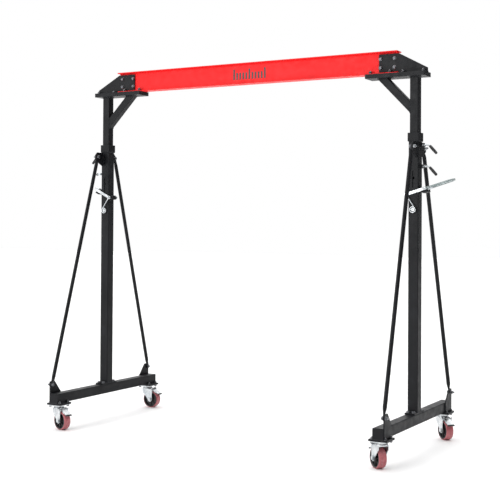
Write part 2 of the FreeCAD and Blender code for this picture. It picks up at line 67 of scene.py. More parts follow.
def new_material(name):
    """An empty material with its output and main shader joined."""
    material = bpy.data.materials.new(name)
    material.use_nodes = True
    tree = material.node_tree
    tree.nodes.clear()
    output = tree.nodes.new("ShaderNodeOutputMaterial")
    shader = tree.nodes.new("ShaderNodeBsdfPrincipled")
    tree.links.new(shader.outputs[0], output.inputs["Surface"])
    return material, tree, shader


def node(tree, kind, settings=None, **inputs):
    """Adds a shader node; an input is either a plain value or another node's output."""
    made = tree.nodes.new("ShaderNode" + kind)
    for key, value in (settings or {}).items():
        setattr(made, key, value)
    for key, value in inputs.items():
        socket = made.inputs[key.replace("_", " ")]
        if isinstance(value, bpy.types.NodeSocket):
            tree.links.new(value, socket)
        else:
            socket.default_value = value
    return made


def noise(tree, place, scale, detail=3.0):
    return node(tree, "TexNoise", Vector=place, Scale=scale, Detail=detail).outputs["Fac"]


def ranged(tree, value, low, high, to_low, to_high):
    """Maps a value from low..high to to_low..to_high, held at the ends."""
    made = node(tree, "MapRange", Value=value, From_Min=low, From_Max=high)
    made.inputs["To Min"].default_value = to_low
    made.inputs["To Max"].default_value = to_high
    return made.outputs["Result"]


def mixed(tree, share, first, second):
    return node(tree, "MixRGB", Fac=share, Color1=first, Color2=second).outputs["Color"]


def edge_share(tree, radius, rounded):
    """How near the surface is to an outside or inside corner, from 0 to 1."""
    flat = node(tree, "NewGeometry").outputs["Normal"]
    facing = node(tree, "VectorMath", {"operation": "DOT_PRODUCT"})
    tree.links.new(rounded, facing.inputs[0])
    tree.links.new(flat, facing.inputs[1])
    return ranged(tree, facing.outputs["Value"], 0.998, 0.93, 0.0, 1.0)


def painted_steel(name, colour, shade, dust_wear_and_edge_light, gloss, shine, edge_radius, grain, grain_depth):
    """Powder coat: slow colour drift, edges mixed in patches towards a second tone (partly
    scuffing, partly painted light: a painted highlight where that tone is paler, painted shade
    where it is darker), fine orange peel and dusty patches.
    """
    material, tree, shader = new_material(name)
    place = node(tree, "TexCoord").outputs["Object"]
    drift = ranged(tree, noise(tree, place, 3.5, 5.0), 0.3, 0.7, 0.0, 1.0)
    coat = mixed(tree, drift, shade, colour)
    rounded = node(tree, "Bevel", {"samples": 4}, Radius=edge_radius).outputs["Normal"]
    # Edges are mixed in patches towards the edge tone passed in. This is partly scuffing and partly
    # painted light: a painted highlight where that tone is paler than the coat, painted shade where
    # it is darker.
    edge_patches = ranged(tree, noise(tree, place, 38.0, 6.0), 0.35, 0.62, 0.25, 1.0)
    wear_and_edge_light = node(tree, "Math", {"operation": "MULTIPLY"})
    tree.links.new(edge_share(tree, edge_radius, rounded), wear_and_edge_light.inputs[0])
    tree.links.new(edge_patches, wear_and_edge_light.inputs[1])
    coat = mixed(tree, wear_and_edge_light.outputs["Value"], coat, dust_wear_and_edge_light)
    dust = ranged(tree, noise(tree, place, 11.0, 8.0), 0.55, 0.8, 0.0, 0.25)
    tree.links.new(mixed(tree, dust, coat, dust_wear_and_edge_light), shader.inputs["Base Color"])
    tree.links.new(
        ranged(tree, noise(tree, place, 22.0, 6.0), 0.3, 0.7, gloss - 0.07, gloss + 0.1),
        shader.inputs["Roughness"],
    )
    shader.inputs["Specular IOR Level"].default_value = shine
    peel = noise(tree, place, grain, 2.0)
    bump = node(tree, "Bump", Strength=0.35, Distance=grain_depth, Height=peel, Normal=rounded)
    tree.links.new(bump.outputs["Normal"], shader.inputs["Normal"])
    return material


def dress(node_name, material):
    """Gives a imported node's object a better finish."""
    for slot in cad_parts[node_name].material_slots:
        slot.material = material


charcoal = painted_steel(
    "charcoal_coat",
    colour=(0.0110, 0.0116, 0.0134, 1.0),
    shade=(0.0055, 0.0059, 0.0071, 1.0),
    # The paler edge tone paints a highlight on the corners, besides scuffing.
    dust_wear_and_edge_light=(0.044, 0.047, 0.054, 1.0),
    gloss=0.43,
    shine=0.16,
    edge_radius=0.003,
    grain=900.0,
    grain_depth=0.0004,
)
for side in SIDES:
    dress(side + "_base_tube", charcoal)


# Weld beads.  Gas-shielded fillet welds run by hand where plates and tubes meet, left with
# their ripples and coated over with the rest of the frame.

RIPPLE_PITCH = 0.0035
BEAD_RADIUS = 0.0035
BEAD_SIDES = 8


def along_z(start, direction):
    """A matrix that stands the Z axis at start, pointing along direction."""
    return Matrix.Translation(start) @ direction.to_track_quat("Z", "Y").to_matrix().to_4x4()


def pulled(bm, rim, step, centre, size):
    """Extrudes a ring of edges by a step and scales the new ring about its centre."""
    made = bmesh.ops.extrude_edge_only(bm, edges=rim)["geom"]
    corners = [part for part in made if isinstance(part, bmesh.types.BMVert)]
    fresh = set(corners)
    bmesh.ops.translate(bm, vec=step, verts=corners)
    bmesh.ops.scale(bm, vec=size, space=Matrix.Translation(-centre), verts=corners)
    edges = [part for part in made if isinstance(part, bmesh.types.BMEdge)]
    return [edge for edge in edges if fresh.issuperset(edge.verts)]


def weld(bm, start, end):
    """A rippled bead from start to end."""
    start = Vector(start)
    run = Vector(end) - start
    steps = max(4, round(run.length / RIPPLE_PITCH))
    ring = bmesh.ops.create_circle(
        bm, cap_ends=True, segments=BEAD_SIDES, radius=BEAD_RADIUS * 0.7, matrix=along_z(start, run)
    )["verts"]
    rim = list({edge for vert in ring for edge in vert.link_edges})
    for index in range(steps):
        centre = start + run * ((index + 1) / steps)
        grow = (1.3, 0.77)[index % 2]
        rim = pulled(bm, rim, run / steps, centre, (grow, grow, grow))
    bmesh.ops.contextual_create(bm, geom=rim)


def weld_loop(bm, corners):
    """Beads round a closed outline."""
    for first, second in zip(corners, corners[1:] + corners[:1]):
        weld(bm, first, second)


def finish_piece(name, bm, material, body, sharp=40.0, turned=True):
    """Turns a bmesh into a shaded object that rides on a body."""
    if turned:
        bmesh.ops.recalc_face_normals(bm, faces=bm.faces)
    for face in bm.faces:
        face.smooth = True
    for edge in bm.edges:
        if len(edge.link_faces) == 2 and edge.calc_face_angle() > math.radians(sharp):
            edge.smooth = False
    mesh = bpy.data.meshes.new(name)
    bm.to_mesh(mesh)
    bm.free()
    mesh.materials.append(material)
    piece = bpy.data.objects.new(name, mesh)
    bpy.context.scene.collection.objects.link(piece)
    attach(piece, body)
    return piece


def square(centre_x, centre_y, z, half_x, half_y):
    """Corners of a flat rectangle, in order."""
    signs = ((-1, -1), (1, -1), (1, 1), (-1, 1))
    return [Vector((centre_x + a * half_x, centre_y + b * half_y, z)) for a, b in signs]


POST_X = {}
OUTWARD = {"left": -1.0, "right": 1.0}
for side in SIDES:
    low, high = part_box(side + "_base_tube")
    POST_X[side] = (low.x + high.x) / 2
TUBE_HALF = (high.x - low.x) / 2
BASE_TOP = high.z
BASE_LOW = low.z
BASE_END = high.y
FOOT_TOP = BASE_TOP + 0.010
PAD_Y = BASE_END - 0.0575
PAD_HALF = 0.055
END_PLATE_SPAN = (0.116, 0.006)
WING_SPAN = (1.808, 1.896)
WING_SEAMS = (0.0165, 0.0255)

for side in SIDES:
    bm = bmesh.new()
    x = POST_X[side]
    weld_loop(bm, square(x, 0.0, FOOT_TOP + 0.001, TUBE_HALF, TUBE_HALF))
    face = x + OUTWARD[side] * (TUBE_HALF + 0.001)
    for end in (-1, 1):
        inner, outer = (end * (BASE_END - inset) for inset in END_PLATE_SPAN)
        weld(bm, (face + OUTWARD[side] * 0.007, inner, BASE_TOP + 0.001), (face, outer, BASE_TOP))
        weld(bm, (face, inner, BASE_LOW + 0.003), (face, outer, BASE_LOW + 0.003))
        weld(bm, (face, inner, BASE_LOW + 0.006), (face, inner, BASE_TOP - 0.003))
        pad_y = end * PAD_Y
        for way in (-1, 1):
            edge = x + way * TUBE_HALF
            seam_z = BASE_LOW + 0.001
            weld(bm, (edge, pad_y - PAD_HALF, seam_z), (edge, pad_y + PAD_HALF, seam_z))
    for way in (-1, 1):
        for reach in WING_SEAMS:
            seam = (x + OUTWARD[side] * reach, way * (TUBE_HALF + 0.0005))
            weld(bm, (*seam, WING_SPAN[0]), (*seam, WING_SPAN[1]))
    finish_piece(side + "_frame_welds", bm, charcoal, side + "_frame")


# Caster pads.  Flat bar welded under each end of the base tube and drilled at the corners
# for the casters' plates; same charcoal coat as the frame.

for side in SIDES:
    dress(side + "_caster_pads", charcoal)


# Casters' top plates and swivel races.  Pressed steel, bright zinc plated, with a thin
# bluish haze and dull handling marks.  Four bolts with nuts hold each one to its pad.

def zinc_plate(name, grey, bright, tinge):
    """Bright plating: cloudy grey, a cold tint in places, painted shade darkening every edge,
    brushed grain.
    """
    material, tree, shader = new_material(name)
    place = node(tree, "TexCoord").outputs["Object"]
    clouds = ranged(tree, noise(tree, place, 24.0, 5.0), 0.32, 0.68, 0.0, 1.0)
    plate = mixed(tree, clouds, grey, bright)
    tint = ranged(tree, noise(tree, place, 9.0, 3.0), 0.45, 0.75, 0.0, 0.4)
    plate = mixed(tree, tint, plate, tinge)
    rounded = node(tree, "Bevel", {"samples": 4}, Radius=0.0015).outputs["Normal"]
    # Every edge is mixed towards dark grey: painted shade outlining the plated parts.
    plate = mixed(tree, edge_share(tree, 0.0015, rounded), plate, (0.13, 0.14, 0.15, 1.0))
    tree.links.new(plate, shader.inputs["Base Color"])
    shader.inputs["Metallic"].default_value = 1.0
    dull = ranged(tree, noise(tree, place, 60.0, 6.0), 0.3, 0.7, 0.2, 0.42)
    tree.links.new(dull, shader.inputs["Roughness"])
    stretch = node(tree, "Mapping", Vector=place, Scale=(1.0, 1.0, 14.0)).outputs["Vector"]
    grain = noise(tree, stretch, 260.0, 3.0)
    bump = node(tree, "Bump", Strength=0.2, Distance=0.0002, Height=grain, Normal=rounded)
    tree.links.new(bump.outputs["Normal"], shader.inputs["Normal"])
    return material


zinc = zinc_plate(
    "bright_zinc", (0.44, 0.46, 0.48, 1.0), (0.70, 0.72, 0.73, 1.0), (0.46, 0.54, 0.58, 1.0)
)


def blacked_steel():
    """Bolts with a black oxide finish: dark, slightly oily, paler on every edge, partly from
    spanner scuffing and partly a painted edge highlight.
    """
    material, tree, shader = new_material("blacked_bolt")
    place = node(tree, "TexCoord").outputs["Object"]
    oil = ranged(tree, noise(tree, place, 130.0, 4.0), 0.35, 0.7, 0.0, 1.0)
    skin = mixed(tree, oil, (0.055, 0.056, 0.062, 1.0), (0.16, 0.165, 0.18, 1.0))
    rounded = node(tree, "Bevel", {"samples": 4}, Radius=0.0012).outputs["Normal"]
    # Every edge is mixed towards pale grey: partly spanner scuffing, partly a painted edge
    # highlight.
    rubbed_and_lit_edges = edge_share(tree, 0.0012, rounded)
    tree.links.new(mixed(tree, rubbed_and_lit_edges, skin, (0.42, 0.43, 0.45, 1.0)), shader.inputs["Base Color"])
    shader.inputs["Metallic"].default_value = 0.9
    rough = ranged(tree, noise(tree, place, 300.0, 3.0), 0.3, 0.7, 0.28, 0.46)
    tree.links.new(rough, shader.inputs["Roughness"])
    grit = noise(tree, place, 1500.0, 2.0)
    bump = node(tree, "Bump", Strength=0.2, Distance=0.0002, Height=grit, Normal=rounded)
    tree.links.new(bump.outputs["Normal"], shader.inputs["Normal"])
    return material


blacked = blacked_steel()


def disc(bm, start, end, radius, sides=24, chamfer=0.0):
    """A round bar from start to end, with both rims chamfered."""
    start = Vector(start)
    run = Vector(end) - start
    corners = bmesh.ops.create_cone(
        bm,
        cap_ends=True,
        segments=sides,
        radius1=radius,
        radius2=radius,
        depth=run.length,
        matrix=along_z(start + run / 2, run),
    )["verts"]
    if chamfer:
        faces = {face for vert in corners for face in vert.link_faces}
        caps = [face for face in faces if len(face.verts) == sides]
        rims = list({edge for face in caps for edge in face.edges})
        bmesh.ops.bevel(
            bm, geom=rims, offset=chamfer, offset_type="OFFSET", segments=1, profile=0.5,
            affect="EDGES", material=-1, clamp_overlap=True,
        )


def hexagon(bm, start, end, across):
    """A nut or bolt head from start to end, with its outer corners turned down."""
    start = Vector(start)
    run = Vector(end) - start
    corners = bmesh.ops.create_cone(
        bm,
        cap_ends=True,
        segments=6,
        radius1=across / math.sqrt(3.0),
        radius2=across / math.sqrt(3.0),
        depth=run.length * 0.82,
        matrix=along_z(start + run * 0.41, run),
    )["verts"]
    faces = {face for vert in corners for face in vert.link_faces}
    half_way = 0.5 * run.length ** 2
    outer = [
        face
        for face in faces
        if len(face.verts) == 6 and (face.calc_center_median() - start).dot(run) > half_way
    ]
    bmesh.ops.inset_region(bm, faces=outer, thickness=across * 0.09, depth=run.length * 0.18)


def bolt_head(bm, seat, outward, size=0.012):
    """A washer and hexagon head standing outward from their seat."""
    seat = Vector(seat)
    out = Vector(outward).normalized()
    washer = 0.2 * size
    disc(bm, seat, seat + out * washer, size, 20)
    hexagon(bm, seat + out * washer, seat + out * (washer + 0.65 * size), 1.58 * size)


def nut_and_tail(bm, seat, outward, size, tail):
    """A washer, a hexagon nut and the bolt's threaded end standing out from their seat."""
    seat = Vector(seat)
    out = Vector(outward).normalized()
    washer = 0.2 * size
    face = washer + 0.85 * size
    disc(bm, seat, seat + out * washer, size, 20)
    hexagon(bm, seat + out * washer, seat + out * face, 1.58 * size)
    threads(bm, seat + out * face, seat + out * (face + tail), size / 2)


def threads(bm, start, end, radius, pitch=0.00175, sides=12):
    """A threaded stretch: a ring pulled along, in and out at each turn of the thread."""
    start = Vector(start)
    run = Vector(end) - start
    turns = max(2, 2 * round(run.length / pitch))
    ring = bmesh.ops.create_circle(
        bm, cap_ends=True, segments=sides, radius=radius * 0.86, matrix=along_z(start, run)
    )["verts"]
    rim = list({edge for vert in ring for edge in vert.link_edges})
    for index in range(turns):
        centre = start + run * ((index + 1) / turns)
        grow = (1 / 0.86, 0.86)[index % 2]
        rim = pulled(bm, rim, run / turns, centre, (grow, grow, grow))
    bmesh.ops.contextual_create(bm, geom=rim)


CASTER_Y = PAD_Y
PLATE_LOW, PLATE_TOP = (corner.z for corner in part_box("left_caster_plates"))
PLATE_UNDER = PLATE_TOP - 0.006
PAD_BOLT_X = 0.045
PAD_BOLT_Y = 0.0425
for side in SIDES:
    dress(side + "_caster_plates", zinc)
    bm = bmesh.new()
    for end in (-1, 1):
        for a in (-1, 1):
            for b in (-1, 1):
                x = POST_X[side] + a * (PAD_BOLT_X - 0.0045)
                y = end * CASTER_Y + b * PAD_BOLT_Y
                bolt_head(bm, (x, y, PLATE_UNDER), (0, 0, -1), 0.010)
                nut_and_tail(bm, (x, y, PLATE_UNDER + 0.018), (0, 0, 1), 0.010, 0.004)
    finish_piece(side + "_caster_bolts", bm, blacked, side + "_frame")


# Caster forks.  Pressed and riveted steel, zinc plated: swivel head with a ball race, crown
# and two legs.  The axle is a bolt with a lock nut, and a king pin is peened over under the
# crown.

CORNERS = [side + "_" + end for side in SIDES for end in ENDS]
CASTER_AT = {}
TRAIL = {}
for corner in CORNERS:
    side, end = corner.split("_")
    low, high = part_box(corner + "_wheel")
    hub = (low + high) / 2
    CASTER_AT[corner] = Vector((POST_X[side], CASTER_Y if end == "rear" else -CASTER_Y, 0.0))
    trail = hub - CASTER_AT[corner]
    TRAIL[corner] = math.atan2(trail.y, trail.x)
AXLE_REACH = 0.038
AXLE_Z = hub.z


def at_caster(bm, corner):
    """Turns a piece made round the swivel axis to its corner's direction and place."""
    turn = Matrix.Rotation(TRAIL[corner], 4, "Z")
    bmesh.ops.transform(bm, matrix=Matrix.Translation(CASTER_AT[corner]) @ turn, verts=bm.verts)


def ring_of(bm, profile, axis_point, axis, sides):
    """Spins a closed profile, given as points, once round an axis."""
    corners = [bm.verts.new(point) for point in profile]
    edges = [bm.edges.new(pair) for pair in zip(corners, corners[1:] + corners[:1])]
    bmesh.ops.spin(
        bm,
        geom=corners + edges,
        cent=axis_point,
        axis=axis,
        angle=math.tau,
        steps=sides,
        use_merge=True,
        use_duplicate=False,
    )


RACE_TOP = PLATE_LOW + 0.0005
KING_PIN_Z = (0.136, 0.1305)
FORK_FACE = 0.034
PEDAL_PIVOT = (0.050, 0.0, 0.139)
for corner in CORNERS:
    dress(corner + "_fork", zinc)
    bm = bmesh.new()
    profile = [
        (0.0330, 0, RACE_TOP - 0.0105),
        (0.0372, 0, RACE_TOP - 0.0100),
        (0.0380, 0, RACE_TOP - 0.0070),
        (0.0374, 0, RACE_TOP - 0.0030),
        (0.0352, 0, RACE_TOP - 0.0008),
        (0.0330, 0, RACE_TOP - 0.0008),
    ]
    ring_of(bm, profile, (0, 0, 0), (0, 0, 1), 48)
    hexagon(bm, (0, 0, KING_PIN_Z[0]), (0, 0, KING_PIN_Z[1]), 0.019)
    for way in (-1, 1):
        face = way * FORK_FACE
        disc(bm, (AXLE_REACH, face, AXLE_Z), (AXLE_REACH, face + way * 0.002, AXLE_Z), 0.0145, 24)
        pin_x, _, pin_z = PEDAL_PIVOT
        disc(bm, (pin_x, face, pin_z), (pin_x, face + way * 0.003, pin_z), 0.0062, 16, 0.0008)
    at_caster(bm, corner)
    finish_piece(corner + "_fork_fittings", bm, zinc, corner + "_fork")


# Wheels.  Dusty red polyurethane cast on a black moulded core with ribs, running on a
# sealed bearing.  The tread is smooth, with rounded shoulders and a faint mould line.

def tread_material():
    """Cast polyurethane: slightly uneven red, scuffed paler on the running face."""
    material, tree, shader = new_material("tread_red")
    place = node(tree, "TexCoord").outputs["Object"]
    drift = ranged(tree, noise(tree, place, 16.0, 5.0), 0.3, 0.7, 0.0, 1.0)
    body = mixed(tree, drift, (0.40, 0.105, 0.118, 1.0), (0.50, 0.150, 0.165, 1.0))
    scuff = ranged(tree, noise(tree, place, 75.0, 8.0), 0.55, 0.75, 0.0, 0.55)
    body = mixed(tree, scuff, body, (0.58, 0.29, 0.30, 1.0))
    tree.links.new(body, shader.inputs["Base Color"])
    rough = ranged(tree, noise(tree, place, 48.0, 6.0), 0.3, 0.7, 0.34, 0.55)
    tree.links.new(rough, shader.inputs["Roughness"])
    bump = node(tree, "Bump", Strength=0.3, Distance=0.0003, Height=noise(tree, place, 420.0, 4.0))
    tree.links.new(bump.outputs["Normal"], shader.inputs["Normal"])
    return material


def black_plastic(name, dark, pale, rough_low, rough_high):
    """Moulded black plastic: satin, with a fine leathery skin and greyed high spots."""
    material, tree, shader = new_material(name)
    place = node(tree, "TexCoord").outputs["Object"]
    drift = ranged(tree, noise(tree, place, 30.0, 5.0), 0.35, 0.75, 0.0, 1.0)
    tree.links.new(mixed(tree, drift, dark, pale), shader.inputs["Base Color"])
    rough = ranged(tree, noise(tree, place, 90.0, 4.0), 0.3, 0.7, rough_low, rough_high)
    tree.links.new(rough, shader.inputs["Roughness"])
    skin = node(tree, "TexVoronoi", Vector=place, Scale=1100.0).outputs["Distance"]
    bump = node(tree, "Bump", Strength=0.25, Distance=0.0003, Height=skin)
    tree.links.new(bump.outputs["Normal"], shader.inputs["Normal"])
    return material


def edges_bevelled(bm, corners, offset, segments):
    """Rounds every edge of the shape that these corners belong to."""
    edges = list({edge for vert in corners for edge in vert.link_edges})
    bmesh.ops.bevel(
        bm, geom=edges, offset=offset, offset_type="OFFSET", segments=segments, profile=0.5,
        affect="EDGES", material=-1, clamp_overlap=True,
    )


tread = tread_material()
core_black = black_plastic(
    "core_black", (0.012, 0.011, 0.012, 1.0), (0.035, 0.031, 0.033, 1.0), 0.35, 0.5
)
TREAD_RADIUS = AXLE_Z
TREAD_HALF = 0.025
CORE_RADIUS = 0.0575
RIB_COUNT = 8

for corner in CORNERS:
    body = corner + "_wheel"
    axis_point = (AXLE_REACH, 0, AXLE_Z)
    bm = bmesh.new()
    profile = [
        (AXLE_REACH, -TREAD_HALF, AXLE_Z + CORE_RADIUS - 0.0005),
        (AXLE_REACH, -TREAD_HALF, AXLE_Z + TREAD_RADIUS - 0.0045),
        (AXLE_REACH, -TREAD_HALF + 0.0010, AXLE_Z + TREAD_RADIUS - 0.0026),
        (AXLE_REACH, -TREAD_HALF + 0.0042, AXLE_Z + TREAD_RADIUS - 0.0009),
        (AXLE_REACH, -TREAD_HALF + 0.0090, AXLE_Z + TREAD_RADIUS),
        (AXLE_REACH, -0.0008, AXLE_Z + TREAD_RADIUS),
        (AXLE_REACH, 0, AXLE_Z + TREAD_RADIUS - 0.0005),
        (AXLE_REACH, 0.0008, AXLE_Z + TREAD_RADIUS),
        (AXLE_REACH, TREAD_HALF - 0.0090, AXLE_Z + TREAD_RADIUS),
        (AXLE_REACH, TREAD_HALF - 0.0042, AXLE_Z + TREAD_RADIUS - 0.0009),
        (AXLE_REACH, TREAD_HALF - 0.0010, AXLE_Z + TREAD_RADIUS - 0.0026),
        (AXLE_REACH, TREAD_HALF, AXLE_Z + TREAD_RADIUS - 0.0045),
        (AXLE_REACH, TREAD_HALF, AXLE_Z + CORE_RADIUS - 0.0005),
    ]
    ring_of(bm, profile, axis_point, (0, 1, 0), 72)
    at_caster(bm, corner)
    tyre = finish_piece(corner + "_tread", bm, tread, body)
    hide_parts(corner + "_wheel")

    bm = bmesh.new()
    profile = []
    for reach, half in (
        (0.0072, 0.0275),
        (0.0195, 0.0275),
        (0.0215, 0.0260),
        (0.0225, 0.0120),
        (0.0475, 0.0105),
        (0.0492, 0.0225),
        (0.0505, 0.0243),
        (0.0568, 0.0243),
        (CORE_RADIUS, 0.0236),
    ):
        profile.append((AXLE_REACH, half, AXLE_Z + reach))
    profile += [(x, -y, z) for x, y, z in reversed(profile)]
    ring_of(bm, profile, axis_point, (0, 1, 0), 56)
    for index in range(RIB_COUNT):
        spoke = Matrix.Rotation(math.tau * index / RIB_COUNT, 4, "Y")
        place = Matrix.Translation(axis_point) @ spoke @ Matrix.Translation((0, 0, 0.0342))
        rib = bmesh.ops.create_cube(
            bm, size=1.0, matrix=place @ Matrix.Diagonal((0.0035, 0.040, 0.026, 1.0))
        )["verts"]
        edges_bevelled(bm, rib, 0.0006, 1)
    at_caster(bm, corner)
    finish_piece(corner + "_core", bm, core_black, body)

    bm = bmesh.new()
    for way in (-1, 1):
        profile = [
            (AXLE_REACH, way * 0.0270, AXLE_Z + 0.0078),
            (AXLE_REACH, way * 0.0279, AXLE_Z + 0.0085),
            (AXLE_REACH, way * 0.0279, AXLE_Z + 0.0150),
            (AXLE_REACH, way * 0.0272, AXLE_Z + 0.0165),
        ]
        ring_of(bm, profile, axis_point, (0, 1, 0), 36)
    at_caster(bm, corner)
    finish_piece(corner + "_bearing_seals", bm, zinc, body)


# Brake pedals.  Pressed zinc-plated plate on the fork's pin, with a ribbed black plastic
# tread pushed over its end.

PEDAL_SLOPE = math.radians(32.0)
grip_black = black_plastic(
    "grip_black", (0.010, 0.010, 0.011, 1.0), (0.030, 0.030, 0.033, 1.0), 0.38, 0.55
)


def block(bm, low, high, offset=0.0, segments=2):
    """A box between two corners, with rounded edges."""
    low = Vector(low)
    high = Vector(high)
    size = high - low
    place = Matrix.Translation((low + high) / 2) @ Matrix.Diagonal((size.x, size.y, size.z, 1.0))
    corners = bmesh.ops.create_cube(bm, size=1.0, matrix=place)["verts"]
    if offset:
        edges_bevelled(bm, corners, offset, segments)


for corner in CORNERS:
    dress(corner + "_brake_pedal", zinc)
    bm = bmesh.new()
    block(bm, (0.0640, -0.0232, -0.0012), (0.0748, 0.0232, 0.0052), 0.0010)
    for index in range(3):
        x = 0.0652 + index * 0.0034
        block(bm, (x, -0.0205, 0.0045), (x + 0.0016, 0.0205, 0.0062), 0.0004, 1)
    tilt = Matrix.Translation(PEDAL_PIVOT) @ Matrix.Rotation(PEDAL_SLOPE, 4, "Y")
    bmesh.ops.transform(bm, matrix=tilt, verts=bm.verts)
    at_caster(bm, corner)
    finish_piece(corner + "_pedal_tread", bm, grip_black, corner + "_brake_pedal")


# Outer posts.  Square tube welded to a foot plate that four bolts hold on the base tube,
# with two welded clamp nuts and the lever's pivot block.

PIVOT_Z = 1.578
BLOCK_EDGE = 0.0245

for side in SIDES:
    dress(side + "_outer_post", charcoal)
    bm = bmesh.new()
    for a in (-1, 1):
        for b in (-1, 1):
            seat = (POST_X[side] + a * 0.018, b * 0.060, FOOT_TOP)
            bolt_head(bm, seat, (0, 0, 1))
    finish_piece(side + "_foot_bolts", bm, blacked, side + "_frame")
    bm = bmesh.new()
    x = POST_X[side] - OUTWARD[side] * (TUBE_HALF + 0.0005)
    for way in (-1, 1):
        edge = way * BLOCK_EDGE
        weld(bm, (x, edge, PIVOT_Z - 0.0135), (x, edge, PIVOT_Z + 0.0135))
        z = PIVOT_Z + way * 0.0155
        weld(bm, (x, -0.024, z), (x, 0.024, z))
    finish_piece(side + "_block_welds", bm, charcoal, side + "_frame")


# Brace plates.  Laser-cut wings welded high on the post's front and rear faces, and a plate
# on each end of the base tube, coated with the frame.

for side in SIDES:
    dress(side + "_brace_plates", charcoal)


# Round braces.  Steel tube with both ends pressed flat and drilled, on the inner sides of the
# brace plates.  Blacked bolts hold them, with bright plated nuts at the top.

BOLT_UP = {"x": TUBE_HALF - 0.0185, "y": 0.100, "z": 1.867}
BOLT_DOWN = {"x": TUBE_HALF - 0.003, "y": BASE_END - 0.0175, "z": 0.300}
BRACE_GRIP = 0.0142
BRACE_SIDES = 20
# Distance from the end, half thickness and half width of the section there.
PRESSED_END = (
    (0.0000, 0.0022, 0.0060),
    (0.0015, 0.0029, 0.0090),
    (0.0050, 0.0031, 0.0125),
    (0.0120, 0.0031, 0.0148),
    (0.0330, 0.0031, 0.0150),
    (0.0420, 0.0045, 0.0149),
    (0.0520, 0.0078, 0.0142),
    (0.0620, 0.0108, 0.0132),
    (0.0740, 0.0125, 0.0125),
)

for side in SIDES:
    for end in ENDS:
        way = -1 if end == "front" else 1
        low_x, high_x = (POST_X[side] + OUTWARD[side] * spot["x"] for spot in (BOLT_DOWN, BOLT_UP))
        low_bolt = Vector((low_x, way * BOLT_DOWN["y"], BOLT_DOWN["z"]))
        high_bolt = Vector((high_x, way * BOLT_UP["y"], BOLT_UP["z"]))
        along = (high_bolt - low_bolt).normalized()
        start = low_bolt - along * 0.014
        length = (high_bolt - low_bolt).length + 0.028
        sections = list(PRESSED_END)
        sections += [(length - d, t, w) for d, t, w in reversed(PRESSED_END)]
        bm = bmesh.new()
        ring = bmesh.ops.create_circle(bm, cap_ends=True, segments=BRACE_SIDES, radius=1.0)["verts"]
        bmesh.ops.scale(bm, vec=(sections[0][1], sections[0][2], 1.0), verts=ring)
        rim = list({edge for vert in ring for edge in vert.link_edges})
        for before, after in zip(sections, sections[1:]):
            step = Vector((0, 0, after[0] - before[0]))
            centre = Vector((0, 0, after[0]))
            size = (after[1] / before[1], after[2] / before[2], 1.0)
            rim = pulled(bm, rim, step, centre, size)
        bmesh.ops.contextual_create(bm, geom=rim)
        flat = Vector((1, 0, 0)) - along * along.x
        lean = Matrix((flat.normalized(), along.cross(flat).normalized(), along)).transposed()
        bmesh.ops.transform(bm, matrix=Matrix.Translation(start) @ lean.to_4x4(), verts=bm.verts)
        brace = finish_piece(side + "_" + end + "_brace_tube", bm, charcoal, side + "_frame")
        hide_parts(side + "_" + end + "_brace")

    out = Vector((OUTWARD[side], 0, 0))
    heads = bmesh.new()
    upper_nuts = bmesh.new()
    for way in (-1, 1):
        for spot, nuts, tail in ((BOLT_UP, upper_nuts, 0.008), (BOLT_DOWN, heads, 0.010)):
            seat = Vector((POST_X[side], way * spot["y"], spot["z"])) + out * (spot["x"] - 0.0032)
            bolt_head(heads, seat, -out)
            nut_and_tail(nuts, seat + out * BRACE_GRIP, out, 0.012, tail)
    finish_piece(side + "_brace_bolts", heads, blacked, side + "_frame")
    finish_piece(side + "_upper_brace_nuts", upper_nuts, zinc, side + "_frame")


# Collars.  Machined square sleeve driven over the post's top to guide the sliding post, and
# coated with the frame.

for side in SIDES:
    dress(side + "_post_collar", charcoal)
    low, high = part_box(side + "_post_collar")
    half = (high.x - low.x) / 2
    bm = bmesh.new()
    weld_loop(bm, square(POST_X[side], 0.0, low.z - 0.0008, half - 0.0045, half - 0.0045))
    finish_piece(side + "_collar_welds", bm, charcoal, side + "_frame")


# Clamp screws.  Zinc-plated screws through the welded nuts, bent over at the end and sunk in
# moulded black grips.  They pinch the sliding post.

CLAMP_Z = {"upper": 1.880, "lower": 1.749}
CLAMP_TURN = {"left_lower": math.radians(90.0)}
ELBOW_REACH = TUBE_HALF + 0.055
GRIP_LEAN = math.radians(48.0)


def bent_rod(bm, points, radius, bend, sides=16):
    """A round rod through the points, its corners bent to one radius and its ends closed."""
    points = [Vector(point) for point in points]
    here = points[0]
    heading = (points[1] - points[0]).normalized()
    ring = bmesh.ops.create_circle(
        bm, cap_ends=True, segments=sides, radius=radius, matrix=along_z(here, heading)
    )["verts"]
    rim = list({edge for vert in ring for edge in vert.link_edges})
    for index in range(1, len(points)):
        corner = points[index]
        angle = 0.0
        back = 0.0
        if index + 1 < len(points):
            onward = (points[index + 1] - corner).normalized()
            angle = heading.angle(onward)
            back = bend * math.tan(angle / 2)
        target = corner - heading * back
        if (target - here).length > 1e-6:
            rim = pulled(bm, rim, target - here, target, (1.0, 1.0, 1.0))
        here = target
        if angle:
            axis = heading.cross(onward).normalized()
            turned = bmesh.ops.spin(
                bm,
                geom=rim,
                cent=target + axis.cross(heading) * bend,
                axis=axis,
                angle=angle,
                steps=max(3, math.ceil(angle / math.radians(11.0))),
                use_duplicate=False,
            )["geom_last"]
            rim = [part for part in turned if isinstance(part, bmesh.types.BMEdge)]
            here = corner + onward * back
            heading = onward
    bmesh.ops.contextual_create(bm, geom=rim)


